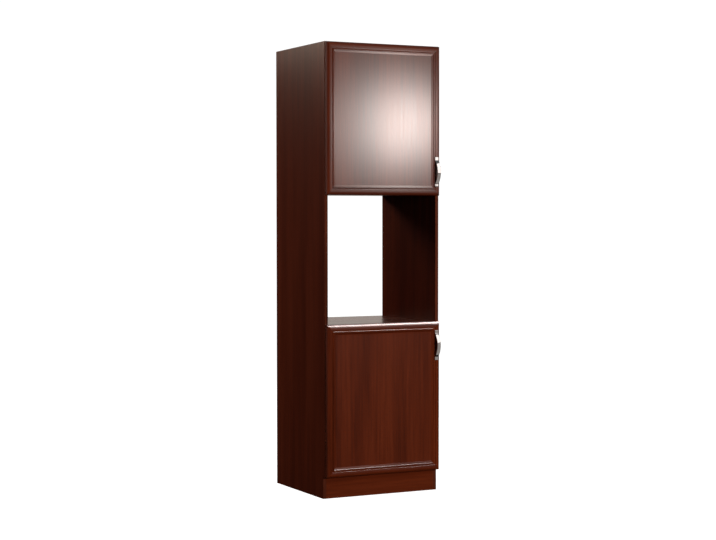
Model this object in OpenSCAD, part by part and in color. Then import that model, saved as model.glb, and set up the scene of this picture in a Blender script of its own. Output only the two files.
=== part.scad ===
// Tall oven housing unit: a column cabinet with a cupboard below, an open oven niche
// in the middle and a cupboard above. Both doors hang on the left on cup hinges.
// The cabinet stands on z = 0 and its front looks towards -Y. Its pieces are drawn in
// the cabinet's own frame: x from the left outer face, y back from the front of the
// boards, z up from the floor. in_place() brings that frame to the middle of the part.

/* [Cabinet] */
// Outer width of the cabinet
cab_w = 600; // [500:1:900]
// Height from the floor to the top
cab_h = 2100; // [2000:1:2300]
// Depth of the boards, without the doors
carcass_d = 528; // [470:1:620]
// Thickness of the boards
board_t = 16; // [15:0.5:19]
// Height of the plinth, and of the notch in the sides
plinth_h = 100; // [80:1:150]
// How far the plinth stands back from the front of the boards
toe_setback = 19; // [10:1:60]
// Height of the oven shelf's top above the floor
oven_z = 804; // [700:1:900]
// Clear height of the oven niche
niche_h = 600; // [450:1:620]
// Thickness of the edging strips
edging_t = 1; // [0.5:0.1:2]

/* [Backs and shelves] */
// Thickness of the back panels
back_t = 3; // [3:0.5:6]
// Distance from the rear of the boards to the back panel
back_inset = 10; // [6:1:20]
// Depth of the grooves that hold the back panels
back_groove_d = 7; // [5:0.5:8]
// Clearance round a back panel in its groove, each side
back_play = 0.2; // [0.1:0.05:0.4]
// Distance from the front of the boards to a loose shelf
shelf_inset = 20; // [10:1:40]
// Clearance at each end of a loose shelf
shelf_play = 0.3; // [0.1:0.1:0.5]
// Gap between a loose shelf and the back panel
shelf_back_gap = 4; // [2:1:10]
// Height of a shelf support above and below its peg
support_h = 5; // [4:0.5:7]
// Reach of a shelf support from the side
support_reach = 8; // [6:1:12]
// Width of a shelf support
support_w = 11; // [9:1:15]
// Radius of a shelf support's peg
peg_r = 2.5; // [2:0.25:3]
// Depth of a peg's hole
peg_d = 9; // [7:1:11]

/* [Joints of the boards] */
// Radius of a cam lock
cam_r = 7.5; // [6:0.25:7.5]
// Depth of a cam lock's hole
cam_d = 12.5; // [11:0.25:13]
// Distance from the end of the board to the cam lock's centre
cam_reach = 34; // [24:1:34]
// Radius of a cam bolt's shaft
bolt_r = 3; // [2.5:0.25:3.5]
// Radius of the bolt's hole in the end of the board
bolt_hole_r = 4; // [3.5:0.25:4.5]
// Radius of the thread that sits in the side panel
bolt_thread_r = 2.5; // [2:0.25:3]
// Length of that thread
bolt_thread_l = 11; // [9:0.5:12]
// Distance from the front and the rear of a board to its bolts
bolt_inset = 64; // [45:1:120]
// Radius of a wood dowel
dowel_r = 4; // [3:0.5:4]
// Length of a wood dowel
dowel_l = 30; // [25:1:35]
// How deep a wood dowel sits in the side panel
dowel_sink = 11; // [8:0.5:12]
// Distance between a bolt and its wood dowel
dowel_step = 32; // [25:1:64]
// Clearance round pegs, dowels, locks and screws in their holes
fit_play = 0.05; // [0.03:0.01:0.08]

/* [Doors] */
// Thickness of a door frame
door_t = 20; // [18:0.5:24]
// Gap between the boards and a closed door
door_gap = 2; // [1.5:0.1:3]
// Distance from the outer face of the cabinet to the edge of a door
door_reveal = 2; // [1:0.5:4]
// Distance from the oven shelf's top down to the top of the lower door
lower_reveal = 0; // [0:0.5:4]
// How far the upper door hangs over the oven niche
upper_lap = 5.5; // [0:0.5:8]
// Width of the stiles and rails
rail_w = 46; // [46:1:80]
// Radius of the large round on the door's outer edge
edge_r = 16; // [8:0.5:16]
// Distance from the outer edge to the middle of the groove
groove_s = 27.3; // [26:0.1:28]
// Radius of the groove's bottom
groove_r = 2.7; // [2:0.1:3]
// Depth of the groove
groove_d = 3.6; // [2.5:0.1:4]
// Distance from the outer edge to the top of the ridge
ridge_s = 33.6; // [33:0.1:35]
// Radius of the ridge
ridge_r = 3.6; // [3:0.1:4]
// How far the ridge lies below the face of the door
ridge_drop = 0.8; // [0.5:0.1:1.5]
// Thickness of the centre panel
centre_t = 8; // [6:0.5:9]
// Distance from the rear of the door to the centre panel
centre_rear = 4; // [3:0.5:5]
// Height of the frame's lip over the face of the centre panel
lip_h = 0.8; // [0.5:0.1:1.5]
// How far the centre panel reaches into the frame
tongue = 5; // [4:0.5:5]
// Clearance between the tongue and the bottom of its groove
tongue_play = 0.3; // [0.2:0.1:0.5]

/* [Handles] */
// Hole spacing of a handle
handle_pitch = 128; // [96:32:160]
// Length of a foot pad
foot_l = 13; // [12:0.5:14]
// Thickness of a foot pad
foot_t = 4; // [3.5:0.5:6]
// Width of a handle
handle_w = 18; // [14:0.5:22]
// How far a handle stands out from the door
handle_reach = 28; // [24:0.5:36]
// Thickness of the bow
bow_t = 5; // [4:0.5:6]
// Distance from the edge of the door to the middle of a handle
handle_edge = 21.5; // [20:0.5:24]
// Distance from the middle of a handle to the end of its door that faces the niche
handle_end = 110.5; // [100:0.5:200]
// Depth of the groove across each foot
foot_groove = 0.6; // [0.3:0.1:1]

/* [Hinges] */
// Distance from the end of a door to its hinges
hinge_end = 100; // [90:1:140]
// Radius of the cup
cup_r = 17.5; // [17.5:0.5:18]
// Distance from the edge of the door to the cup's centre
cup_edge = 22.5; // [22.5:0.5:23]
// Depth of the hole for the cup
cup_hole_d = 12; // [11.5:0.25:13]
// Depth of the cup
cup_d = 11.6; // [11.4:0.1:11.6]
// Thickness of the cup's walls
cup_wall = 1; // [0.8:0.1:1.2]
// Thickness of the cup's flange
flange_t = 0.8; // [0.6:0.1:1]
// Radius of the link pins
pin_r = 1.25; // [1:0.05:1.5]
// Clearance between a pin and a link that turns on it
pin_play = 0.05; // [0.02:0.01:0.08]
// Distance from the edge of the door to the pin in the cup
cup_pin_edge = 9.5; // [9.5:0.1:10]
// Depth of the cup's pin below the rear of the door
cup_pin_depth = 4.8; // [4.6:0.1:5]
// Height of the arm's pin above the inner face of the side
arm_pin_rise = 17.8; // [17:0.1:18]
// Distance of the arm's pin behind the front of the boards
arm_pin_y = 2.4; // [2.4:0.1:3]
// Width of a link's eyes
link_w = 3.8; // [3.5:0.1:4]
// Width of a link's plates between the eyes
link_neck_w = 3.2; // [2.8:0.1:3.3]
// Thickness of a link's plates and of the arm's cheeks
steel_t = 1.5; // [1:0.1:1.5]
// Inner distance from the middle of the hinge to a link's plate
link_half = 3.6; // [3.4:0.1:3.8]
// Clearance between a link and the cheeks beside it
side_play = 0.2; // [0.15:0.05:0.3]
// Distance from the front of the boards to the holes of the mounting plate
plate_y = 37; // [37:1:38]
// Distance between the two screws of a mounting plate
plate_pitch = 32; // [32:1:34]

/* [Hidden] */
$fn = 48;
eps = 0.01;

// How far a cutter reaches past the face it cuts, and the rest left under a screw or peg
cut = 1;
hole_rest = 0.5;

// Clear space between the sides, and the levels of the boards' undersides
inner_w = cab_w - 2 * board_t;
inner_x = board_t;
bottom_z = plinth_h;
oven_shelf_z = oven_z - board_t;
niche_top_z = oven_z + niche_h;
top_z = cab_h - board_t;
board_levels = [bottom_z, oven_shelf_z, niche_top_z, top_z];
board_d = carcass_d - edging_t;

// Middle of the part: half of the depth over boards, door and handle
door_face = door_gap + door_t;
whole_d = carcass_d + door_face + handle_reach;
front_y = -whole_d / 2 + door_face + handle_reach;

// Back panels: their place behind the cupboards
back_y = carcass_d - back_inset - back_t;
lower_space = [bottom_z + board_t, oven_shelf_z];
upper_space = [niche_top_z + board_t, top_z];

// Loose shelves lie on supports half way up their cupboard
shelf_w = inner_w - 2 * shelf_play;
shelf_d = back_y - shelf_back_gap - shelf_inset - edging_t;
lower_shelf_z = (lower_space[0] + lower_space[1]) / 2;
upper_shelf_z = (upper_space[0] + upper_space[1]) / 2;
support_inset = 60;
support_lip = 2;
support_root = 3.2;
support_ys = [shelf_inset + support_inset, back_y - shelf_back_gap - support_inset];

// Spare peg holes above and below the pegs in use
hole_step = 32;
hole_rows = [-2, -1, 0, 1, 2];

// Holes of the bolts and dowels along the depth
bolt_ys = [bolt_inset, carcass_d - bolt_inset];
dowel_ys = [bolt_inset + dowel_step, carcass_d - bolt_inset - dowel_step];
lock_r = cam_r - fit_play;
lock_h = cam_d - fit_play;
lock_slot = 2 * bolt_hole_r - 1;
lock_cross_w = 2.5;
lock_cross_l = 9;
lock_cross_d = 1.5;
bolt_head_r = bolt_r + 0.4;
bolt_head_l = 3;
bolt_neck_r = bolt_r - 1;
bolt_neck_l = 2.5;
dowel_rest = 0.2;

// Plinth blocks and their screws
block_size = 24;
block_h = 60;
block_chamfer = 12;
block_screw_r = 1.75;
block_screw_sink = 9;
block_screw_edge = 6.5;
block_screw_zs = [14, 42];
block_screw_step = 8;
block_head_r = 3.5;
block_head_h = 2;

// Wall brackets under the top panel, in front of the upper back panel
bracket_leg = 40;
bracket_w = 24;
bracket_t = 2;
bracket_hole_r = 3;
bracket_hole = 24;
bracket_pitch = 400;
bracket_screw_r = 2;
bracket_screw_l = 13;
bracket_head_r = 4;
bracket_head_top_r = 2.8;
bracket_head_h = 2.2;

// Doors
door_w = cab_w - 2 * door_reveal;
lower_door_z = plinth_h;
lower_door_h = oven_z - lower_reveal - lower_door_z;
upper_door_z = niche_top_z - upper_lap;
upper_door_h = cab_h - door_reveal - upper_door_z;
slot_s = rail_w - tongue - tongue_play;
slope_s = ridge_s + ridge_r;
centre_face = centre_rear + centre_t;

// Handles
handle_l = handle_pitch + foot_l;
bow_chord = handle_l - 2 * foot_l;
bow_sag = handle_reach;
bow_rise = bow_sag - foot_t / 2;
bow_r = (bow_chord * bow_chord / 4 + bow_rise * bow_rise) / (2 * bow_rise);
handle_x = door_w - handle_edge;
lower_handle_z = lower_door_h - handle_end;
upper_handle_z = handle_end;
screw_r = 2;
foot_skin = 0.8;
screw_bore_d = foot_t - foot_skin;
screw_head_r = 4;
screw_head_h = 1.6;
foot_groove_w = 1.6;

// Hinges
upper_hinge_zs = [upper_door_z + hinge_end, upper_door_z + upper_door_h - hinge_end];
lower_hinge_zs = [lower_door_z + hinge_end, lower_door_z + lower_door_h - hinge_end];
cup_x = door_reveal + cup_edge;
cup_pin = [door_reveal + cup_pin_edge, -door_gap - cup_pin_depth];
arm_pin = [board_t + arm_pin_rise, arm_pin_y];
elbow_step = [6.2, -2.8];
link_elbow = cup_pin + elbow_step;
web_span = [0.25, 0.6];
cheek_in = link_half + steel_t + side_play;
cheek_out = cheek_in + steel_t;
pocket_half = cheek_out + side_play;
pocket_ear = cheek_in;
pocket_floor = cup_d - cup_wall;
ear_reach = 5;
pin_hold = 2.2;
pin_rest = 0.1;
flange_r = 20;
flange_screw_x = 9.5;
flange_screw_z = 22.5;
flange_wing_w = 13;
cup_screw_r = 1.75;
cup_screw_l = 9.5;
cup_screw_head_r = 3.4;
cup_screw_head_h = 0.9;
arm_nose_r = 3;
arm_top = arm_pin[0] + arm_nose_r;
arm_rear = 62;
arm_rise = 6;
arm_low = board_t + arm_rise;
roof_step = 5;
roof_y = arm_pin[1] + roof_step;
roof_gap = 0.1;
plate_t = 2;
plate_rail = [24, 58];
plate_rail_half = cheek_in - side_play;
plate_rail_top = arm_top - steel_t - roof_gap;
plate_wing_w = 12;
plate_screw_r = 2.5;
plate_screw_l = 11;
plate_screw_head_r = 4;
plate_screw_head_h = 1.6;
arm_screw_y = 46;
arm_screw_r = 3;
arm_screw_l = 12;
arm_screw_head_r = 4.2;
arm_screw_head_h = 1.8;

// Bumpers
bumper_r = 4.5;
bumper_play = 0.1;
bumper_t = door_gap - bumper_play;
bumper_inset = 8;

wood = [0.30, 0.12, 0.08];
edge_wood = [0.42, 0.24, 0.17];
steel = [0.75, 0.75, 0.76];
chrome = [0.86, 0.86, 0.87];
zinc = [0.66, 0.67, 0.68];
beech = [0.80, 0.64, 0.45];
plastic = [0.88, 0.88, 0.85];
board_back = [0.55, 0.42, 0.32];

// Brings the cabinet's frame to the middle of the part
module in_place() {
    translate([-cab_w / 2, front_y, 0]) children();
}

// A round bar along x from the given point
module bar_x(point, r, l) {
    translate(point) rotate([0, 90, 0]) cylinder(r = r, h = l);
}

// A round bar along y from the given point
module bar_y(point, r, l) {
    translate(point) rotate([-90, 0, 0]) cylinder(r = r, h = l);
}

// Repeats its children on the left and mirrored on the right of the cabinet
module both_sides() {
    children();
    translate([cab_w, 0, 0]) mirror([1, 0, 0]) children();
}

// ---------------------------------------------------------------- boards

// Space of a back panel, grown by the play of its groove
module back_space(space, play) {
    grow = back_groove_d - (play > 0 ? 0 : 2 * back_play);
    translate([inner_x - grow, back_y - play, space[0] - grow])
        cube([inner_w + 2 * grow, back_t + 2 * play, space[1] - space[0] + 2 * grow]);
}

// Grooves of both back panels
module back_grooves() {
    back_space(lower_space, back_play);
    back_space(upper_space, back_play);
}

// Holes in the inner face of a side: cam bolts, wood dowels, supports and hinge screws
module side_holes() {
    for (z = board_levels, y = bolt_ys)
        bar_x([inner_x - bolt_thread_l, y, z + board_t / 2], bolt_thread_r + fit_play,
              bolt_thread_l + cut);
    for (z = board_levels, y = dowel_ys)
        bar_x([inner_x - dowel_sink, y, z + board_t / 2], dowel_r + fit_play, dowel_sink + cut);
    for (z = [lower_shelf_z, upper_shelf_z], row = hole_rows, y = support_ys)
        bar_x([inner_x - peg_d, y, z - support_h / 2 + row * hole_step], peg_r + fit_play,
              peg_d + cut);
    for (z = block_screw_zs)
        bar_x([inner_x - block_screw_sink - hole_rest, toe_setback + board_t + block_screw_edge, z],
              block_screw_r + fit_play, block_screw_sink + hole_rest + cut);
}

// One side with its notch for the toes
module side_board() {
    difference() {
        translate([0, edging_t, 0]) cube([board_t, board_d, cab_h]);
        translate([-cut, -cut, -cut])
            cube([board_t + 2 * cut, toe_setback + edging_t + cut, plinth_h + cut]);
        back_grooves();
        side_holes();
    }
}

module left_side_panel() {
    color(wood) difference() {
        side_board();
        for (z = concat(lower_hinge_zs, upper_hinge_zs), s = [-1, 1])
            bar_x([inner_x - plate_screw_l, plate_y, z + s * plate_pitch / 2],
                  plate_screw_r + fit_play, plate_screw_l + cut);
    }
}

module right_side_panel() {
    color(wood) translate([cab_w, 0, 0]) mirror([1, 0, 0]) side_board();
}

// A board between the sides. Its cam locks are drilled from above or from below.
module cross_board(z, locks_below) {
    lock_z = locks_below ? z - cut : z + board_t - cam_d;
    difference() {
        translate([inner_x, edging_t, z]) cube([inner_w, board_d, board_t]);
        back_grooves();
        both_sides() {
            for (y = bolt_ys) {
                translate([inner_x + cam_reach, y, lock_z]) cylinder(r = cam_r, h = cam_d + cut);
                bar_x([inner_x - cut, y, z + board_t / 2], bolt_hole_r, cam_reach + cut);
            }
            for (y = dowel_ys)
                bar_x([inner_x - cut, y, z + board_t / 2], dowel_r + fit_play,
                      dowel_l - dowel_sink + 2 * cut);
        }
    }
}

module top_panel() {
    color(wood) difference() {
        cross_board(top_z, true);
        for (x = bracket_xs())
            translate([x, back_y - bracket_hole, top_z - cut])
                cylinder(r = bracket_screw_r + fit_play, h = bracket_screw_l);
    }
}

module niche_top_panel() {
    color(wood) cross_board(niche_top_z, false);
}

module oven_shelf() {
    color(wood) cross_board(oven_shelf_z, true);
}

module bottom_panel() {
    color(wood) cross_board(bottom_z, true);
}

module plinth_board() {
    color(wood) difference() {
        translate([inner_x, toe_setback, 0]) cube([inner_w, board_t, plinth_h]);
        both_sides() for (z = block_screw_zs)
            bar_y([inner_x + block_screw_edge,
                   toe_setback + board_t - block_screw_sink - hole_rest, z + block_screw_step],
                  block_screw_r + fit_play, block_screw_sink + hole_rest + cut);
    }
}

module upper_back_panel() {
    color(board_back) difference() {
        back_space(upper_space, 0);
        for (x = bracket_xs())
            bar_y([x, back_y - cut, top_z - bracket_hole], bracket_hole_r, back_t + 2 * cut);
    }
}

module lower_back_panel() {
    color(board_back) back_space(lower_space, 0);
}

// A loose shelf on its supports
module loose_shelf(z) {
    translate([inner_x + shelf_play, shelf_inset + edging_t, z]) cube([shelf_w, shelf_d, board_t]);
}

module upper_shelf() {
    color(wood) loose_shelf(upper_shelf_z);
}

module lower_shelf() {
    color(wood) loose_shelf(lower_shelf_z);
}

// Edging strips on the front of a side, above the notch and in the notch
module side_edging() {
    translate([0, 0, plinth_h]) cube([board_t, edging_t, cab_h - plinth_h]);
    translate([0, toe_setback, 0]) cube([board_t, edging_t, plinth_h]);
}

module left_edging() {
    color(edge_wood) side_edging();
}

module right_edging() {
    color(edge_wood) translate([cab_w - board_t, 0, 0]) side_edging();
}

module board_edgings() {
    color(edge_wood) {
        for (z = board_levels)
            translate([inner_x, 0, z]) cube([inner_w, edging_t, board_t]);
        for (z = [lower_shelf_z, upper_shelf_z])
            translate([inner_x + shelf_play, shelf_inset, z]) cube([shelf_w, edging_t, board_t]);
    }
}

// ---------------------------------------------------------------- fittings of the boards

// Four shelf supports: a peg in the side and a bracket under the shelf
module shelf_supports(z) {
    both_sides() for (y = support_ys) {
        bar_x([inner_x - peg_d + hole_rest, y, z - support_h / 2], peg_r,
              peg_d - hole_rest + eps);
        translate([inner_x, y - support_w / 2, z - support_h])
            rotate([-90, 0, 0]) linear_extrude(support_w) polygon([
                [0, 0], [0, -support_h], [support_reach, -support_h],
                [support_reach, -support_h + support_lip], [support_root, 0]]);
    }
}

module upper_shelf_supports() {
    color(plastic) shelf_supports(upper_shelf_z);
}

module lower_shelf_supports() {
    color(plastic) shelf_supports(lower_shelf_z);
}

// A cam lock: a drum with a slot for the bolt's head and a cross for the driver
module cam_lock(z, locks_below) {
    low = locks_below ? z : z + board_t - lock_h;
    face = locks_below ? z : z + board_t;
    mid = z + board_t / 2;
    difference() {
        translate([0, 0, low]) cylinder(r = lock_r, h = lock_h);
        translate([-lock_r - cut, -lock_slot / 2, mid - lock_slot / 2])
            cube([lock_r + cut + bolt_head_r, lock_slot, lock_slot]);
        for (a = [0, 90])
            rotate([0, 0, a])
                translate([-lock_cross_l / 2, -lock_cross_w / 2, face - lock_cross_d])
                    cube([lock_cross_l, lock_cross_w, 2 * lock_cross_d]);
    }
}

module cam_locks() {
    color(zinc) both_sides() for (z = board_levels, y = bolt_ys)
        translate([inner_x + cam_reach, y, 0]) cam_lock(z, z != niche_top_z);
}

// A cam bolt: a thread in the side, a collar on its face, a shaft, a neck and a head
module cam_bolt() {
    shaft_l = cam_reach - bolt_head_l / 2 - bolt_neck_l;
    bar_x([-bolt_thread_l + hole_rest, 0, 0], bolt_thread_r, bolt_thread_l - hole_rest + eps);
    bar_x([0, 0, 0], bolt_r, shaft_l);
    bar_x([shaft_l - eps, 0, 0], bolt_neck_r, bolt_neck_l + 2 * eps);
    bar_x([shaft_l + bolt_neck_l, 0, 0], bolt_head_r, bolt_head_l);
}

module cam_bolts() {
    color(zinc) both_sides() for (z = board_levels, y = bolt_ys)
        translate([inner_x, y, z + board_t / 2]) cam_bolt();
}

module wood_dowels() {
    color(beech) both_sides() for (z = board_levels, y = dowel_ys)
        bar_x([inner_x - dowel_sink + dowel_rest, y, z + board_t / 2], dowel_r, dowel_l);
}

// A corner block behind the plinth, with a chamfered inner corner
module plinth_block() {
    difference() {
        linear_extrude(block_h) polygon([
            [0, 0], [block_size, 0], [block_size, block_size - block_chamfer],
            [block_size - block_chamfer, block_size], [0, block_size]]);
        for (z = block_screw_zs) {
            bar_x([-cut, block_screw_edge, z], block_screw_r + fit_play, block_size + 2 * cut);
            bar_y([block_screw_edge, -cut, z + block_screw_step], block_screw_r + fit_play,
                  block_size + 2 * cut);
        }
    }
}

module plinth_blocks() {
    color(plastic) both_sides() translate([inner_x, toe_setback + board_t, 0]) plinth_block();
}

// Screws of one corner block, two into the side and two into the plinth
module block_screws() {
    for (z = block_screw_zs) {
        bar_x([-block_screw_sink, block_screw_edge, z], block_screw_r,
              block_size + block_screw_sink + eps);
        bar_x([block_size, block_screw_edge, z], block_head_r, block_head_h);
        bar_y([block_screw_edge, -block_screw_sink, z + block_screw_step], block_screw_r,
              block_size + block_screw_sink + eps);
        bar_y([block_screw_edge, block_size, z + block_screw_step], block_head_r, block_head_h);
    }
}

module plinth_screws() {
    color(zinc) both_sides() translate([inner_x, toe_setback + board_t, 0]) block_screws();
}

function bracket_xs() = [for (s = [-1, 1]) cab_w / 2 + s * bracket_pitch / 2];

// A bent steel bracket under the top panel and against the back panel
module wall_bracket() {
    difference() {
        union() {
            translate([-bracket_w / 2, -bracket_leg, -bracket_t])
                cube([bracket_w, bracket_leg, bracket_t]);
            translate([-bracket_w / 2, -bracket_t, -bracket_leg])
                cube([bracket_w, bracket_t, bracket_leg]);
        }
        translate([0, -bracket_hole, -bracket_t - cut])
            cylinder(r = bracket_screw_r + fit_play, h = bracket_t + 2 * cut);
        bar_y([0, -bracket_t - cut, -bracket_hole], bracket_hole_r, bracket_t + 2 * cut);
    }
}

module wall_brackets() {
    color(steel) for (x = bracket_xs()) translate([x, back_y, top_z]) wall_bracket();
}

module wall_bracket_screws() {
    color(zinc) for (x = bracket_xs()) translate([x, back_y - bracket_hole, top_z]) {
        translate([0, 0, -bracket_t - eps])
            cylinder(r = bracket_screw_r, h = bracket_screw_l - hole_rest);
        translate([0, 0, -bracket_t - bracket_head_h])
            cylinder(r1 = bracket_head_top_r, r2 = bracket_head_r, h = bracket_head_h);
    }
}

// ---------------------------------------------------------------- doors

// Section of the stiles and rails: x runs in from the outer edge, y out from the rear
module rail_profile() {
    ridge_y = door_t - ridge_drop - ridge_r;
    difference() {
        intersection() {
            square([rail_w, door_t]);
            union() {
                square([rail_w, door_t - edge_r]);
                translate([edge_r, 0]) square([rail_w, door_t]);
                translate([edge_r, door_t - edge_r]) circle(edge_r);
            }
        }
        translate([groove_s, door_t - groove_d + groove_r]) circle(groove_r);
        translate([groove_s - groove_r, door_t - groove_d + groove_r])
            square([2 * groove_r, groove_d]);
        difference() {
            union() {
                translate([groove_s, door_t - groove_d]) square([ridge_s - groove_s, door_t]);
                translate([ridge_s, ridge_y]) square([rail_w, door_t]);
            }
            translate([ridge_s, ridge_y]) circle(ridge_r);
        }
        polygon([
            [slope_s, ridge_y], [rail_w, centre_face + lip_h],
            [rail_w + cut, centre_face + lip_h], [rail_w + cut, door_t + cut],
            [slope_s, door_t + cut]]);
        translate([slot_s, centre_rear]) square([rail_w, centre_t]);
    }
}

// A mitred stile: its outer edge is x = 0 and its rear lies on y = 0
module frame_member(length) {
    intersection() {
        mirror([0, 1, 0]) linear_extrude(length) rail_profile();
        rotate([90, 0, 0]) linear_extrude(door_t) polygon([
            [0, 0], [rail_w, rail_w], [rail_w, length - rail_w], [0, length]]);
    }
}

// Brings a door's lower left rear corner to its place on the cabinet
module on_door(z) {
    translate([door_reveal, -door_gap, z]) children();
}

// Hole of a cup with the two pilot holes of its flange
module cup_hole() {
    bar_y([cup_edge, -cup_hole_d, 0], cup_r, cup_hole_d + cut);
    for (s = [-1, 1])
        bar_y([cup_edge + flange_screw_x, -cup_screw_l - hole_rest, s * flange_screw_z],
              cup_screw_r + fit_play, cup_screw_l + hole_rest + cut);
}

module left_stile(h) {
    difference() {
        frame_member(h);
        for (z = [hinge_end, h - hinge_end]) translate([0, 0, z]) cup_hole();
    }
}

module right_stile(h, handle_z) {
    difference() {
        translate([door_w, 0, 0]) mirror([1, 0, 0]) frame_member(h);
        for (s = [-1, 1])
            bar_y([handle_x, -door_t - cut, handle_z + s * handle_pitch / 2],
                  screw_r + fit_play, door_t + 2 * cut);
    }
}

module bottom_rail() {
    mirror([0, 0, 1]) rotate([0, 90, 0]) frame_member(door_w);
}

module top_rail(h) {
    translate([0, 0, h]) rotate([0, 90, 0]) frame_member(door_w);
}

module centre_panel(h) {
    edge = rail_w - tongue;
    translate([edge, -centre_face, edge])
        cube([door_w - 2 * edge, centre_t, h - 2 * edge]);
}

// A bow handle: two grooved foot pads and a strap that arches between them
module bow_handle() {
    foot_far = handle_l / 2;
    foot_near = foot_far - foot_l;
    difference() {
        rotate([0, -90, 0]) linear_extrude(handle_w, center = true) {
            difference() {
                intersection() {
                    translate([0, bow_r - bow_sag]) circle(bow_r);
                    translate([-foot_far, -bow_sag]) square([handle_l, bow_sag]);
                }
                translate([0, bow_r - bow_sag + bow_t]) circle(bow_r);
            }
            for (s = [-1, 1])
                translate([s * (foot_far + foot_near) / 2 - foot_l / 2, -foot_t])
                    square([foot_l, foot_t]);
        }
        for (s = [-1, 1]) {
            bar_y([0, -screw_bore_d, s * handle_pitch / 2], screw_r, screw_bore_d + cut);
            translate([-handle_w, -foot_t - foot_groove,
                       s * (foot_near + 2 * foot_groove_w) - foot_groove_w / 2])
                cube([2 * handle_w, 2 * foot_groove, foot_groove_w]);
        }
    }
}

module handle_screws(handle_z) {
    for (s = [-1, 1]) {
        bar_y([handle_x, -door_t - screw_bore_d + hole_rest, handle_z + s * handle_pitch / 2],
              screw_r - fit_play, door_t + screw_bore_d - hole_rest + eps);
        bar_y([handle_x, 0, handle_z + s * handle_pitch / 2], screw_head_r, screw_head_h);
    }
}

module bumpers(h) {
    for (z = [bumper_inset, h - bumper_inset])
        bar_y([door_w - bumper_inset, 0, z], bumper_r, bumper_t);
}

// ---------------------------------------------------------------- hinges
// Each is drawn in the cabinet's frame with the middle of the hinge on z = 0

// Mounting plate: a rail under the arm and two wings with the screws
module hinge_plate() {
    difference() {
        union() {
            translate([inner_x, plate_rail[0], -plate_rail_half])
                cube([plate_rail_top - inner_x, plate_rail[1] - plate_rail[0],
                      2 * plate_rail_half]);
            translate([inner_x, plate_y - plate_wing_w / 2, -plate_pitch / 2])
                cube([plate_t, plate_wing_w, plate_pitch]);
            for (s = [-1, 1])
                bar_x([inner_x, plate_y, s * plate_pitch / 2], plate_wing_w / 2, plate_t);
        }
        for (s = [-1, 1])
            bar_x([inner_x - cut, plate_y, s * plate_pitch / 2], plate_screw_r + fit_play,
                  plate_t + 2 * cut);
        bar_x([arm_top - arm_screw_l - hole_rest, arm_screw_y, 0], arm_screw_r + fit_play,
              arm_screw_l + hole_rest + cut);
    }
}

module plate_screws() {
    for (s = [-1, 1]) {
        bar_x([inner_x - plate_screw_l + hole_rest, plate_y, s * plate_pitch / 2],
              plate_screw_r, plate_screw_l + plate_t - hole_rest + eps);
        bar_x([inner_x + plate_t, plate_y, s * plate_pitch / 2], plate_screw_head_r,
              plate_screw_head_h);
    }
}

// Side outline of the arm's cheeks
module cheek_outline() {
    difference() {
        union() {
            polygon([
                [arm_low, arm_rear], [arm_low, plate_rail[0]], [arm_pin[0] - arm_nose_r, arm_pin[1]],
                [arm_top, arm_pin[1]], [arm_top, arm_rear]]);
            translate(arm_pin) circle(arm_nose_r);
        }
        translate(arm_pin) circle(pin_r + fit_play);
    }
}

// Hinge arm: two cheeks and the roof that joins them
module hinge_arm() {
    difference() {
        union() {
            for (z = [-cheek_out, cheek_in])
                translate([0, 0, z]) linear_extrude(steel_t) cheek_outline();
            translate([arm_top - steel_t, roof_y, -cheek_in])
                cube([steel_t, arm_rear - roof_y, 2 * cheek_in]);
        }
        bar_x([arm_top - steel_t - cut, arm_screw_y, 0], arm_screw_r + fit_play,
              steel_t + 2 * cut);
    }
}

module arm_screw() {
    bar_x([arm_top - arm_screw_l, arm_screw_y, 0], arm_screw_r, arm_screw_l + eps);
    bar_x([arm_top, arm_screw_y, 0], arm_screw_head_r, arm_screw_head_h);
}

module arm_pin_bar() {
    translate([arm_pin[0], arm_pin[1], -cheek_out]) cylinder(r = pin_r, h = 2 * cheek_out);
}

// A straight strip of the given width between two points
module link_strip(a, b, w) {
    d = b - a;
    translate(a) rotate(atan2(d[1], d[0])) translate([0, -w / 2]) square([norm(d), w]);
}

// Link: two cranked plates joined by a web behind the elbow
module hinge_link() {
    web_a = link_elbow + (arm_pin - link_elbow) * web_span[0];
    web_b = link_elbow + (arm_pin - link_elbow) * web_span[1];
    difference() {
        union() {
            for (z = [-link_half - steel_t, link_half])
                translate([0, 0, z]) linear_extrude(steel_t) {
                    for (p = [cup_pin, link_elbow, arm_pin]) translate(p) circle(link_w / 2);
                    link_strip(cup_pin, link_elbow, link_neck_w);
                    link_strip(link_elbow, arm_pin, link_neck_w);
                }
            translate([0, 0, -link_half - steel_t / 2]) linear_extrude(2 * link_half + steel_t)
                link_strip(web_a, web_b, steel_t);
        }
        for (p = [cup_pin, arm_pin])
            translate([p[0], p[1], -cheek_out])
                cylinder(r = pin_r + pin_play, h = 2 * cheek_out);
    }
}

// Cup: a drum with a pocket for the link and a flange with two screws
module hinge_cup() {
    rear = -door_gap;
    difference() {
        union() {
            bar_y([cup_x, rear - cup_d, 0], cup_r - fit_play, cup_d);
            translate([0, rear + flange_t, 0]) rotate([90, 0, 0]) linear_extrude(flange_t)
                flange_outline();
        }
        translate([0, rear + flange_t + cut, 0]) rotate([90, 0, 0])
            linear_extrude(pocket_floor + flange_t + cut) pocket_outline();
        translate([cup_pin[0], cup_pin[1], -pocket_ear - pin_hold])
            cylinder(r = pin_r + fit_play, h = 2 * (pocket_ear + pin_hold));
        for (s = [-1, 1])
            bar_y([cup_x + flange_screw_x, rear - cut, s * flange_screw_z],
                  cup_screw_r + fit_play, flange_t + 2 * cut);
    }
}

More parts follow.
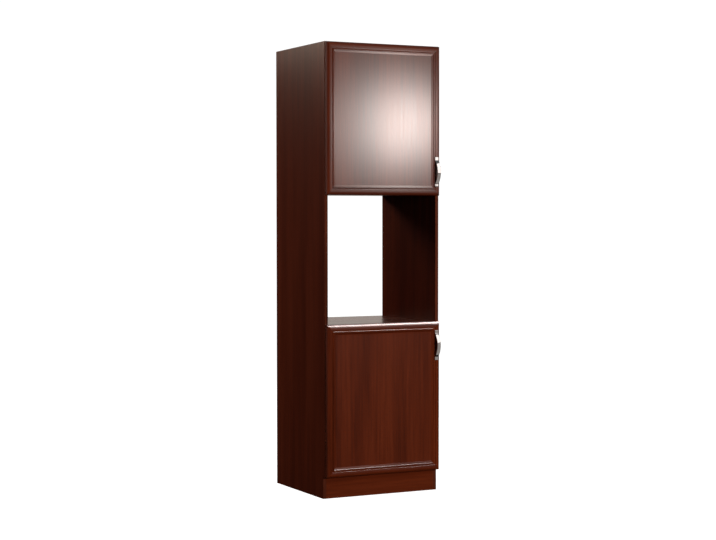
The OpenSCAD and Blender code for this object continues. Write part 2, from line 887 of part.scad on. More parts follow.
// Outline of the flange, x across the door and y up
module flange_outline() {
    difference() {
        union() {
            translate([cup_x, 0]) circle(flange_r);
            for (s = [-1, 1])
                translate([cup_x + flange_screw_x, s * flange_screw_z]) circle(flange_wing_w / 2);
            translate([cup_x + flange_screw_x - flange_wing_w / 2, -flange_screw_z])
                square([flange_wing_w, 2 * flange_screw_z]);
        }
        translate([door_reveal, -2 * flange_r]) square([cup_edge - cup_r + cup_wall, 4 * flange_r]);
    }
}

// Outline of the pocket: narrow between the ears that hold the pin
module pocket_outline() {
    pocket_r = cup_r - cup_wall;
    intersection() {
        translate([cup_x, 0]) circle(pocket_r);
        union() {
            translate([cup_x - pocket_r + ear_reach, -pocket_half])
                square([2 * pocket_r, 2 * pocket_half]);
            translate([cup_x - pocket_r, -pocket_ear]) square([2 * pocket_r, 2 * pocket_ear]);
        }
    }
}

module cup_pin_bar() {
    pin_half = pocket_ear + pin_hold - pin_rest;
    translate([cup_pin[0], cup_pin[1], -pin_half]) cylinder(r = pin_r, h = 2 * pin_half);
}

module cup_screws() {
    top = -door_gap + flange_t;
    for (s = [-1, 1]) {
        bar_y([cup_x + flange_screw_x, -door_gap - cup_screw_l, s * flange_screw_z], cup_screw_r,
              cup_screw_l + flange_t + eps);
        bar_y([cup_x + flange_screw_x, top, s * flange_screw_z], cup_screw_head_r,
              cup_screw_head_h);
    }
}

// Repeats a hinge piece at both hinges of a door
module at_hinges(zs) {
    for (z = zs) translate([0, 0, z]) children();
}

// ---------------------------------------------------------------- nodes of the two doors

module upper_hinge_plates() { color(zinc) at_hinges(upper_hinge_zs) hinge_plate(); }
module upper_hinge_arms() { color(steel) at_hinges(upper_hinge_zs) hinge_arm(); }
module upper_hinge_links() { color(steel) at_hinges(upper_hinge_zs) hinge_link(); }
module upper_hinge_cups() { color(steel) at_hinges(upper_hinge_zs) hinge_cup(); }
module upper_arm_pins() { color(zinc) at_hinges(upper_hinge_zs) arm_pin_bar(); }
module upper_cup_pins() { color(zinc) at_hinges(upper_hinge_zs) cup_pin_bar(); }
module upper_plate_screws() { color(zinc) at_hinges(upper_hinge_zs) plate_screws(); }
module upper_arm_screws() { color(zinc) at_hinges(upper_hinge_zs) arm_screw(); }
module upper_cup_screws() { color(zinc) at_hinges(upper_hinge_zs) cup_screws(); }
module upper_left_stile() { color(wood) on_door(upper_door_z) left_stile(upper_door_h); }
module upper_right_stile() {
    color(wood) on_door(upper_door_z) right_stile(upper_door_h, upper_handle_z);
}
module upper_top_rail() { color(wood) on_door(upper_door_z) top_rail(upper_door_h); }
module upper_bottom_rail() { color(wood) on_door(upper_door_z) bottom_rail(); }
module upper_centre_panel() { color(wood) on_door(upper_door_z) centre_panel(upper_door_h); }
module upper_handle() {
    color(chrome) on_door(upper_door_z) translate([handle_x, -door_t, upper_handle_z]) bow_handle();
}
module upper_handle_screws() {
    color(zinc) on_door(upper_door_z) handle_screws(upper_handle_z);
}
module upper_bumpers() { color(plastic) on_door(upper_door_z) bumpers(upper_door_h); }

module lower_hinge_plates() { color(zinc) at_hinges(lower_hinge_zs) hinge_plate(); }
module lower_hinge_arms() { color(steel) at_hinges(lower_hinge_zs) hinge_arm(); }
module lower_hinge_links() { color(steel) at_hinges(lower_hinge_zs) hinge_link(); }
module lower_hinge_cups() { color(steel) at_hinges(lower_hinge_zs) hinge_cup(); }
module lower_arm_pins() { color(zinc) at_hinges(lower_hinge_zs) arm_pin_bar(); }
module lower_cup_pins() { color(zinc) at_hinges(lower_hinge_zs) cup_pin_bar(); }
module lower_plate_screws() { color(zinc) at_hinges(lower_hinge_zs) plate_screws(); }
module lower_arm_screws() { color(zinc) at_hinges(lower_hinge_zs) arm_screw(); }
module lower_cup_screws() { color(zinc) at_hinges(lower_hinge_zs) cup_screws(); }
module lower_left_stile() { color(wood) on_door(lower_door_z) left_stile(lower_door_h); }
module lower_right_stile() {
    color(wood) on_door(lower_door_z) right_stile(lower_door_h, lower_handle_z);
}
module lower_top_rail() { color(wood) on_door(lower_door_z) top_rail(lower_door_h); }
module lower_bottom_rail() { color(wood) on_door(lower_door_z) bottom_rail(); }
module lower_centre_panel() { color(wood) on_door(lower_door_z) centre_panel(lower_door_h); }
module lower_handle() {
    color(chrome) on_door(lower_door_z) translate([handle_x, -door_t, lower_handle_z]) bow_handle();
}
module lower_handle_screws() {
    color(zinc) on_door(lower_door_z) handle_screws(lower_handle_z);
}
module lower_bumpers() { color(plastic) on_door(lower_door_z) bumpers(lower_door_h); }

in_place() left_side_panel();
in_place() right_side_panel();
in_place() top_panel();
in_place() niche_top_panel();
in_place() oven_shelf();
in_place() bottom_panel();
in_place() plinth_board();
in_place() upper_back_panel();
in_place() lower_back_panel();
in_place() upper_shelf();
in_place() lower_shelf();
in_place() left_edging();
in_place() right_edging();
in_place() board_edgings();
in_place() upper_shelf_supports();
in_place() lower_shelf_supports();
in_place() cam_locks();
in_place() cam_bolts();
in_place() wood_dowels();
in_place() plinth_blocks();
in_place() plinth_screws();
in_place() wall_brackets();
in_place() wall_bracket_screws();
in_place() upper_hinge_plates();
in_place() upper_hinge_arms();
in_place() upper_hinge_links();
in_place() upper_hinge_cups();
in_place() upper_arm_pins();
in_place() upper_cup_pins();
in_place() upper_plate_screws();
in_place() upper_arm_screws();
in_place() upper_cup_screws();
in_place() upper_left_stile();
in_place() upper_right_stile();
in_place() upper_top_rail();
in_place() upper_bottom_rail();
in_place() upper_centre_panel();
in_place() upper_handle();
in_place() upper_handle_screws();
in_place() upper_bumpers();
in_place() lower_hinge_plates();
in_place() lower_hinge_arms();
in_place() lower_hinge_links();
in_place() lower_hinge_cups();
in_place() lower_arm_pins();
in_place() lower_cup_pins();
in_place() lower_plate_screws();
in_place() lower_arm_screws();
in_place() lower_cup_screws();
in_place() lower_left_stile();
in_place() lower_right_stile();
in_place() lower_top_rail();
in_place() lower_bottom_rail();
in_place() lower_centre_panel();
in_place() lower_handle();
in_place() lower_handle_screws();
in_place() lower_bumpers();
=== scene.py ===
"""Looks of the tall oven housing unit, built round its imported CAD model.

The door frames, handles, edging strips and screws are modelled here in full detail. The hinge
parts, shelf supports, plinth blocks and wall brackets are the CAD solids with their edges
rounded. The boards, centre panels, cam locks, pins, dowels and bumpers are the CAD solids
themselves. Everything gets its real finish: mahogany foil, hardboard, beech, nickel and zinc
plate, chrome, moulded nylon and clear plastic.
"""

import logging
import math
from dataclasses import dataclass
from enum import Enum

import bmesh
import bpy
from mathutils import Matrix, Vector


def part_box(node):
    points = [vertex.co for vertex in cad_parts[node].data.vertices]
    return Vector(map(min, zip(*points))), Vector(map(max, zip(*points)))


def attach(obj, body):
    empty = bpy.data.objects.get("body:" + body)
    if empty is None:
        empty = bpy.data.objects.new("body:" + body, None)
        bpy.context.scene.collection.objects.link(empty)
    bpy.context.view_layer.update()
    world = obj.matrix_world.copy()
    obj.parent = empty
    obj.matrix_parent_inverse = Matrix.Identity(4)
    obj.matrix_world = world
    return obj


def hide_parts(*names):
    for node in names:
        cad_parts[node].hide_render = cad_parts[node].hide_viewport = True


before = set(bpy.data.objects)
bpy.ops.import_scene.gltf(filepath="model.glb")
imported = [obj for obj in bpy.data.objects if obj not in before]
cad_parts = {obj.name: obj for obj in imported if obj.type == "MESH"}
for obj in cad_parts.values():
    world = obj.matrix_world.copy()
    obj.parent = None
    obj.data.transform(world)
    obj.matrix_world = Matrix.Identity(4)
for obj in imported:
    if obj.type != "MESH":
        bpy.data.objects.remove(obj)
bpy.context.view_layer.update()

log = logging.getLogger("oven_housing")
Span = tuple[float, float]
Point = tuple[float, float, float]
MM = 0.001

# Corners closer than this are one corner
WELD_MM = 0.001
# Straight pieces in the round of a softened edge
ROUND_STEPS = 3
# Sides of a round cutter
DRILL_SIDES = 64
# Edges of a piece sharper than this stay sharp in its shading
SHARP_DEGREES = 32.0

# A screw's head is measured on the corners beyond this share of its radius
HEAD_SHARE = 0.98
# A screw's tip is measured on the corners within this distance of its end
TIP_MM = 0.01
# Screws whose sizes in metres agree to this many places share one mesh
SIZE_PLACES = 6

# Power of an area light for each square metre and each unit of radiance
AREA_POWER = 4


class Grain(Enum):
    """The axis that the grain of a board runs along."""

    ALONG_X = 0
    ALONG_Y = 1
    ALONG_Z = 2


class Cupboard(Enum):
    """The two cupboards, by the word that starts their nodes' names."""

    UPPER = "upper"
    LOWER = "lower"


# ---------------------------------------------------------------- material nodes


def linear(code: str) -> tuple[float, float, float, float]:
    """Turns an sRGB hex value into a linear colour.

    Args:
        code: six hex digits, such as "5a2814".

    Returns:
        Linear red, green and blue, and a full alpha.
    """
    parts = [int(code[i : i + 2], 16) / 255 for i in (0, 2, 4)]
    red, green, blue = (
        v / 12.92 if v <= 0.04045 else ((v + 0.055) / 1.055) ** 2.4 for v in parts
    )
    return red, green, blue, 1.0


def add_node(
    tree: bpy.types.NodeTree,
    kind: str,
    values: dict | None = None,
    links: dict | None = None,
    stops: list | None = None,
    **settings: object,
) -> bpy.types.Node:
    """Adds one node with its settings and links.

    Args:
        tree: the node tree that the node goes into.
        kind: the node's Blender type.
        values: input name or number, and its value.
        links: input name or number, and the output socket that feeds it.
        stops: positions and colours of a ramp.
        settings: the node's own properties.

    Returns:
        The new node.
    """
    made = tree.nodes.new(kind)
    for name, value in settings.items():
        setattr(made, name, value)
    for key, value in (values or {}).items():
        made.inputs[key].default_value = value
    for key, socket in (links or {}).items():
        tree.links.new(socket, made.inputs[key])
    for index, (position, colour) in enumerate(stops or []):
        ramp = made.color_ramp.elements
        stop = ramp[index] if index < 2 else ramp.new(position)
        stop.position, stop.color = position, colour
    return made


def new_material(name: str) -> tuple[bpy.types.Material, bpy.types.Node]:
    """Starts a material with an output and a principled shader.

    Args:
        name: the finish's name.

    Returns:
        The material and its shader node.
    """
    material = bpy.data.materials.new(name)
    material.use_nodes = True
    tree = material.node_tree
    tree.nodes.clear()
    shader = add_node(tree, "ShaderNodeBsdfPrincipled")
    add_node(tree, "ShaderNodeOutputMaterial", links={"Surface": shader.outputs[0]})
    return material, shader


def stretched(
    tree: bpy.types.NodeTree, grain: Grain, across_mm: float, along_mm: float
) -> bpy.types.NodeSocket:
    """Object coordinates in which a grain feature of the given size is one unit.

    Args:
        tree: the material's node tree.
        grain: the axis that the grain runs along.
        across_mm: width of the feature.
        along_mm: length of the feature.

    Returns:
        The scaled coordinates' socket.
    """
    scale = [1 / (across_mm * MM)] * 3
    scale[grain.value] = 1 / (along_mm * MM)
    place = add_node(tree, "ShaderNodeTexCoord")
    made = add_node(
        tree, "ShaderNodeMapping", {"Scale": scale}, {"Vector": place.outputs["Object"]}
    )
    return made.outputs["Vector"]


@dataclass(frozen=True)
class PrintLayer:
    """One layer of the foil's print: the size of its features and how rough they are."""

    across_mm: float
    along_mm: float
    detail: float
    roughness: float
    distortion: float = 0.15


@dataclass(frozen=True)
class MahoganyFoil:
    """Printed and lacquered foil on chipboard or fibreboard, pressed on under heat.

    The print gives broad reddish bands, finer streaks and short dark pores, all along the
    grain. The lacquer gives a soft, slightly uneven gloss. The tones run from dark to light.
    """

    name: str
    tones: tuple[str, str, str]
    roughness: float
    grain: Grain = Grain.ALONG_Z
    specular: float = 0.35
    bands: PrintLayer = PrintLayer(70.0, 1500.0, 1.0, 0.4)
    streaks: PrintLayer = PrintLayer(11.0, 420.0, 3.0, 0.55)
    fibres: PrintLayer = PrintLayer(2.4, 90.0, 2.0, 0.5)
    # Real pores are about 0.3 mm wide. They are drawn as coarse as they need to show.
    pores: PrintLayer = PrintLayer(1.1, 16.0, 1.0, 0.5, 0.0)
    streak_share: float = 0.5
    fibre_share: float = 0.22
    tones_at: tuple[float, float, float] = (0.34, 0.50, 0.66)
    pore_range: Span = (0.60, 0.70)
    pore_darkness: float = 0.55
    pore_depth_mm: float = 0.04
    bump_strength: float = 0.5
    uneven: float = 0.05

    def material(self) -> bpy.types.Material:
        """Builds the foil's material.

        Returns:
            The material.
        """
        material, shader = new_material(self.name)
        tree = material.node_tree
        bands, streaks, fibres, pores = (
            add_node(
                tree,
                "ShaderNodeTexNoise",
                {
                    "Scale": 1.0,
                    "Detail": layer.detail,
                    "Roughness": layer.roughness,
                    "Distortion": layer.distortion,
                },
                {"Vector": stretched(tree, self.grain, layer.across_mm, layer.along_mm)},
            ).outputs["Fac"]
            for layer in (self.bands, self.streaks, self.fibres, self.pores)
        )
        broad = add_node(
            tree, "ShaderNodeMix", {"Factor": self.streak_share}, {2: bands, 3: streaks}
        )
        tone = add_node(
            tree,
            "ShaderNodeMix",
            {"Factor": self.fibre_share},
            {2: broad.outputs[0], 3: fibres},
        )
        wood = add_node(
            tree,
            "ShaderNodeValToRGB",
            links={"Fac": tone.outputs[0]},
            stops=[(at, linear(code)) for at, code in zip(self.tones_at, self.tones)],
        )
        pore = add_node(
            tree,
            "ShaderNodeMapRange",
            {
                "From Min": self.pore_range[0],
                "From Max": self.pore_range[1],
                "To Min": 0.0,
                "To Max": self.pore_darkness,
            },
            {"Value": pores},
        ).outputs[0]
        colour = add_node(
            tree,
            "ShaderNodeMix",
            {7: linear(self.tones[0])},
            {0: pore, 6: wood.outputs["Color"]},
            data_type="RGBA",
        )
        gloss = add_node(
            tree,
            "ShaderNodeMapRange",
            {"To Min": self.roughness - self.uneven, "To Max": self.roughness + self.uneven},
            {"Value": streaks},
        )
        bump = add_node(
            tree,
            "ShaderNodeBump",
            {"Strength": self.bump_strength, "Distance": self.pore_depth_mm * MM},
            {"Height": pore},
            invert=True,
        )
        shader.inputs["Specular IOR Level"].default_value = self.specular
        tree.links.new(colour.outputs[2], shader.inputs["Base Color"])
        tree.links.new(gloss.outputs[0], shader.inputs["Roughness"])
        tree.links.new(bump.outputs[0], shader.inputs["Normal"])
        return material


@dataclass(frozen=True)
class PlatedMetal:
    """Steel or zinc with a thin plated coat. The coat mirrors; fine scratches soften it."""

    name: str
    tint: str
    roughness: float
    # Real scratches are far finer. They are drawn as coarse as they need to show.
    scratch_mm: Span = (0.4, 9.0)
    scratch_axis: Grain = Grain.ALONG_Y
    uneven: float = 0.08
    detail: float = 2.0

    def material(self) -> bpy.types.Material:
        """Builds the metal's material.

        Returns:
            The material.
        """
        material, shader = new_material(self.name)
        tree = material.node_tree
        scratches = add_node(
            tree,
            "ShaderNodeTexNoise",
            {"Scale": 1.0, "Detail": self.detail},
            {"Vector": stretched(tree, self.scratch_axis, *self.scratch_mm)},
        )
        gloss = add_node(
            tree,
            "ShaderNodeMapRange",
            {"To Min": self.roughness - self.uneven, "To Max": self.roughness + self.uneven},
            {"Value": scratches.outputs["Fac"]},
        )
        tree.links.new(gloss.outputs[0], shader.inputs["Roughness"])
        shader.inputs["Base Color"].default_value = linear(self.tint)
        shader.inputs["Metallic"].default_value = 1.0
        return material


@dataclass(frozen=True)
class MouldedPart:
    """Plastic or wood fibre of one colour, with a fine mottle and a slightly uneven gloss."""

    name: str
    tint: str
    shade: str
    roughness: float
    mottle_mm: float
    transmission: float = 0.0
    detail: float = 3.0
    uneven: float = 0.06

    def material(self) -> bpy.types.Material:
        """Builds the part's material.

        Returns:
            The material.
        """
        material, shader = new_material(self.name)
        tree = material.node_tree
        spots = add_node(
            tree,
            "ShaderNodeTexNoise",
            {"Scale": 1.0, "Detail": self.detail},
            {"Vector": stretched(tree, Grain.ALONG_X, self.mottle_mm, self.mottle_mm)},
        ).outputs["Fac"]
        colour = add_node(
            tree,
            "ShaderNodeMix",
            {6: linear(self.shade), 7: linear(self.tint)},
            {0: spots},
            data_type="RGBA",
        )
        gloss = add_node(
            tree,
            "ShaderNodeMapRange",
            {"To Min": self.roughness - self.uneven, "To Max": self.roughness + self.uneven},
            {"Value": spots},
        )
        tree.links.new(colour.outputs[2], shader.inputs["Base Color"])
        tree.links.new(gloss.outputs[0], shader.inputs["Roughness"])
        shader.inputs["Transmission Weight"].default_value = self.transmission
        return material


BOARD_TONES = ("501c0e", "652714", "78331d")
EDGING_TONES = ("3a170d", "5e2a1a", "7a3c28")
DOOR_TONES = ("4c1a0a", "66260f", "793116")


class Finishes:
    """The unit's finishes, each built once."""

    def __init__(self) -> None:
        """Builds every material of the unit."""
        level = Grain.ALONG_X
        # Melamine foil pressed on chipboard: a deep brown red with an even satin gloss
        self.side = MahoganyFoil("mahogany_foil_side_panels", BOARD_TONES, 0.3).material()
        self.board = MahoganyFoil("mahogany_foil_boards", BOARD_TONES, 0.26, level).material()
        # Edging strip ironed on and scraped: duller and a little paler than the foil beside it
        self.edging = MahoganyFoil("mahogany_edging_strip", EDGING_TONES, 0.4).material()
        self.board_edging = MahoganyFoil(
            "mahogany_edging_strip_level", EDGING_TONES, 0.4, level
        ).material()
        # Lacquered foil wrapped round fibreboard bars: thin bright lines along the profile
        self.stile = MahoganyFoil("mahogany_foil_door_stiles", DOOR_TONES, 0.48).material()
        self.rail = MahoganyFoil(
            "mahogany_foil_door_rails", DOOR_TONES, 0.48, level, specular=0.5
        ).material()
        # The same foil laid flat: it mirrors a lamp as a broad soft glow
        self.panel = MahoganyFoil(
            "mahogany_foil_door_panels", DOOR_TONES, 0.48, specular=1.0
        ).material()
        self.plinth = MahoganyFoil(
            "mahogany_foil_plinth", DOOR_TONES, 0.48, level, specular=1.0
        ).material()
        # Hardboard printed on its smooth side: plain brown and matt
        self.hardboard = MouldedPart(
            "printed_hardboard_back", "6b4530", "583622", 0.62, 12.0
        ).material()
        # Turned beech: pale, dry and matt
        self.beech = MouldedPart(
            "turned_beech_dowels", "d9b98a", "c49f6c", 0.6, 2.0
        ).material()
        # Injection moulded nylon: milky white with a low sheen
        self.nylon = MouldedPart(
            "moulded_white_nylon", "e6e4dc", "d6d3c8", 0.45, 3.0
        ).material()
        # Cast soft plastic: half clear, so the door's brown shows through
        self.bumper = MouldedPart(
            "clear_soft_bumpers", "e8e8e6", "dededb", 0.3, 2.0, transmission=0.5
        ).material()
        # Pressed steel, nickel plated: warm and bright, with blurred reflections
        self.nickel = PlatedMetal("nickel_plated_steel", "cdcac3", 0.4).material()
        # Cold formed steel, zinc plated: bluish grey and duller
        self.zinc = PlatedMetal("zinc_plated_fixings", "bcc0c3", 0.44).material()
        # Cast zinc, polished and chrome plated: it mirrors the room almost sharply
        self.chrome = PlatedMetal(
            "polished_chrome_handles", "dcdcde", 0.12, (0.5, 12.0), Grain.ALONG_Z, 0.03
        ).material()


# ---------------------------------------------------------------- mesh helpers


def dress(piece: bpy.types.Object, material: bpy.types.Material) -> None:
    """Gives a piece one material.

    Args:
        piece: the object.
        material: its finish.
    """
    piece.data.materials.clear()
    piece.data.materials.append(material)


def stood(name: str, mesh: bmesh.types.BMesh) -> bpy.types.Object:
    """Stands a bmesh in the scene as an object.

    Args:
        name: the object's name.
        mesh: its bmesh. It is freed.

    Returns:
        The new object.
    """
    data = bpy.data.meshes.new(name)
    mesh.to_mesh(data)
    mesh.free()
    made = bpy.data.objects.new(name, data)
    bpy.context.scene.collection.objects.link(made)
    return made


def make_piece(
    name: str,
    mesh: bmesh.types.BMesh,
    material: bpy.types.Material,
    body: str,
    nodes: list[str],
    smooth_degrees: float = SHARP_DEGREES,
) -> None:
    """Turns a finished bmesh into a piece that stands for CAD nodes.

    Args:
        name: the piece's name.
        mesh: its bmesh, in metres and in place. It is freed.
        material: its finish.
        body: the body that it rides on.
        nodes: the CAD nodes that it replaces.
        smooth_degrees: edges sharper than this stay sharp.
    """
    bmesh.ops.recalc_face_normals(mesh, faces=mesh.faces)
    piece = stood(name, mesh)
    piece.data.shade_smooth()
    piece.data.set_sharp_from_angle(angle=math.radians(smooth_degrees))
    dress(piece, material)
    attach(piece, body)
    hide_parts(*nodes)
    log.info("%s: %d faces on %s", name, len(piece.data.polygons), body)


def soften(mesh: bmesh.types.BMesh, radius: float, degrees: float) -> None:
    """Rounds a mesh's sharp edges.

    Args:
        mesh: the bmesh.
        radius: width of the round, in the mesh's own unit.
        degrees: edges sharper than this are rounded.
    """
    limit = math.radians(degrees)
    edges = [
        e for e in mesh.edges if e.is_manifold and abs(e.calc_face_angle_signed()) > limit
    ]
    bmesh.ops.bevel(
        mesh,
        geom=edges,
        offset=radius,
        offset_type="OFFSET",
        segments=ROUND_STEPS,
        profile=0.5,
        affect="EDGES",
        clamp_overlap=True,
        material=-1,
    )


class OutlinePen:
    """Draws a closed outline in the XY plane, in millimetres, and makes a solid of it."""

    def __init__(self, x: float, y: float) -> None:
        """Starts the outline at a point.

        Args:
            x: the point's x.
            y: the point's y.
        """
        self.mesh = bmesh.new()
        self.first = self.mesh.verts.new((x, y, 0))
        self.last = self.first

    def line(self, *points: Span) -> None:
        """Draws straight on.

        Args:
            points: the points that the line goes through.
        """
        for x, y in points:
            made = bmesh.ops.extrude_vert_indiv(self.mesh, verts=[self.last])
            self.last = made["verts"][0]
            self.last.co = (x, y, 0)

    def arc(self, x: float, y: float, degrees: float, steps: int) -> None:
        """Draws an arc round a centre.

        Args:
            x: the centre's x.
            y: the centre's y.
            degrees: the turn, positive to the left.
            steps: how many straight pieces the arc has.
        """
        made = bmesh.ops.spin(
            self.mesh,
            geom=[self.last],
            cent=(x, y, 0),
            axis=(0, 0, 1),
            angle=math.radians(degrees),
            steps=steps,
            use_merge=False,
        )
        self.last = next(g for g in made["geom_last"] if isinstance(g, bmesh.types.BMVert))

    def solid(self, length: float) -> bmesh.types.BMesh:
        """Closes the outline and extrudes it.

        Args:
            length: the solid's length along Z, in millimetres.

        Returns:
            The solid, in millimetres.
        """
        mesh = self.mesh
        mesh.edges.new((self.last, self.first))
        bmesh.ops.remove_doubles(mesh, verts=mesh.verts, dist=WELD_MM)
        bmesh.ops.contextual_create(mesh, geom=list(mesh.edges))
        made = bmesh.ops.extrude_face_region(mesh, geom=list(mesh.faces))
        top = [g for g in made["geom"] if isinstance(g, bmesh.types.BMVert)]
        bmesh.ops.translate(mesh, verts=top, vec=(0, 0, length))
        return mesh


def mitre(mesh: bmesh.types.BMesh, z: float, slope: int) -> None:
    """Cuts a bar's end at 45 degrees and closes the cut.

    Args:
        mesh: the bar along Z, with its outer edge at x = 0, in millimetres.
        z: height of the bar's outer corner.
        slope: 1 where the bar lies below the cut, -1 where it lies above.
    """
    cut = bmesh.ops.bisect_plane(
        mesh,
        geom=[*mesh.verts, *mesh.edges, *mesh.faces],
        plane_co=(0, 0, z),
        plane_no=Vector((1, 0, slope)).normalized(),
        clear_outer=True,
    )
    rim = [g for g in cut["geom_cut"] if isinstance(g, bmesh.types.BMEdge)]
    bmesh.ops.contextual_create(mesh, geom=rim)


def carved(solid: bmesh.types.BMesh, tool: bmesh.types.BMesh) -> bmesh.types.BMesh:
    """Cuts one shape out of another. The tool must not cross itself.

    Args:
        solid: the shape that is cut. It is freed.
        tool: the shape that is taken away. It is freed.

    Returns:
        What is left of the first shape.
    """
    pair = []
    for mesh in (solid, tool):
        bmesh.ops.recalc_face_normals(mesh, faces=mesh.faces)
        pair.append(stood("carving", mesh))
    cut = pair[0].modifiers.new("cut", "BOOLEAN")
    cut.object, cut.operation, cut.solver = pair[1], "DIFFERENCE", "EXACT"
    shown = pair[0].evaluated_get(bpy.context.evaluated_depsgraph_get())
    result = bmesh.new()
    result.from_mesh(shown.data)
    for piece in pair:
        data = piece.data
        bpy.data.objects.remove(piece)
        bpy.data.meshes.remove(data)
    return result


def drills(points: list[Vector], radius: float, depth: float) -> bmesh.types.BMesh:
    """Round cutters along Y.

    Args:
        points: the middle of each cutter.
        radius: their radius.
        depth: how far each reaches to both sides of its middle.

    Returns:
        The cutters.
    """
    mesh = bmesh.new()
    for point in points:
        bmesh.ops.create_cone(
            mesh,
            cap_ends=True,
            segments=DRILL_SIDES,
            radius1=radius,
            radius2=radius,
            depth=2 * depth,
            matrix=Matrix.Translation(point) @ Matrix.Rotation(math.radians(90), 4, "X"),
        )
    return mesh


def merged_copy(node: str) -> bmesh.types.BMesh:
    """A copy of a CAD node's mesh with its loose triangles joined.

    Args:
        node: the CAD node.

    Returns:
        The copy, in metres.
    """
    mesh = bmesh.new()
    mesh.from_mesh(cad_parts[node].data)
    bmesh.ops.remove_doubles(mesh, verts=mesh.verts, dist=WELD_MM * MM)
    return mesh


def solids_of(node: str) -> list[list[Vector]]:
    """The corners of each separate solid of a CAD node.

    Args:
        node: the CAD node.

    Returns:
        One list of corners for each solid.
    """
    mesh = merged_copy(node)
    mesh.verts.ensure_lookup_table()
    seen: set[int] = set()
    solids = []
    for start in mesh.verts:
        if start.index in seen:
            continue
        seen.add(start.index)
        queue, corners = [start], []
        while queue:
            vert = queue.pop()
            corners.append(vert.co.copy())
            for edge in vert.link_edges:
                other = edge.other_vert(vert)
                if other.index not in seen:
                    seen.add(other.index)
                    queue.append(other)
        solids.append(corners)
    mesh.free()
    return solids


def corners_box(corners: list[Vector]) -> tuple[Vector, Vector]:
    """The box round some corners.

    Args:
        corners: the corners.

    Returns:
        The box's lowest and highest corner.
    """
    low = Vector(min(c[i] for c in corners) for i in range(3))
    high = Vector(max(c[i] for c in corners) for i in range(3))
    return low, high


def boxes_of(node: str) -> list[tuple[Vector, Vector]]:
    """The lowest and highest corner of each separate solid of a CAD node."""
    return [corners_box(corners) for corners in solids_of(node)]


# ---------------------------------------------------------------- doors and handles


@dataclass(frozen=True)
class FrameSection:
    """Section of the wrapped door frame, in millimetres, in from the outer edge.

    The steps are the straight pieces of its arcs.
    """

    width: float = 46.0
    thickness: float = 20.0
    edge_radius: float = 16.0
    edge_steps: int = 24
    groove_at: float = 27.3
    groove_radius: float = 2.7
    groove_depth: float = 3.6
    groove_steps: int = 8
    groove_arris: float = 0.5
    arris_steps: int = 4
    ridge_at: float = 33.6
    ridge_radius: float = 3.6
    ridge_drop: float = 0.8
    ridge_steps: int = 16
    lip_height: float = 12.8
    slot_at: float = 40.7
    slot_low: float = 4.0
    slot_high: float = 12.0

    def bar(self, length: float) -> bmesh.types.BMesh:
        """A mitred bar of the section along Z, in millimetres, with its front towards -Y.

        Args:
            length: the bar's length at its outer edge.

        Returns:
            The bar's bmesh.
        """
        face = self.thickness
        radius = self.edge_radius
        floor = face - self.groove_depth
        ridge = face - self.ridge_drop - self.ridge_radius
        reach = math.sqrt(self.ridge_radius**2 - (floor - ridge) ** 2)
        start = math.degrees(math.atan2(floor - ridge, -reach))
        wall = self.groove_at - self.groove_radius
        arris = self.groove_arris
        pen = OutlinePen(0, 0)
        pen.line((0, face - radius))
        pen.arc(radius, face - radius, -90, self.edge_steps)
        pen.line((wall - arris, face))
        pen.arc(wall - arris, face - arris, -90, self.arris_steps)
        pen.line((wall, floor + self.groove_radius))
        pen.arc(self.groove_at, floor + self.groove_radius, 90, self.groove_steps)
        pen.line((self.ridge_at - reach, floor))
        pen.arc(self.ridge_at, ridge, -start, self.ridge_steps)
        pen.line((self.width, self.lip_height), (self.width, self.slot_high))
        pen.line((self.slot_at, self.slot_high), (self.slot_at, self.slot_low))
        pen.line((self.width, self.slot_low), (self.width, 0))
        mesh = pen.solid(length)
        mitre(mesh, 0, -1)
        mitre(mesh, length, 1)
        bmesh.ops.scale(mesh, vec=(1, -1, 1), verts=mesh.verts)
        return mesh


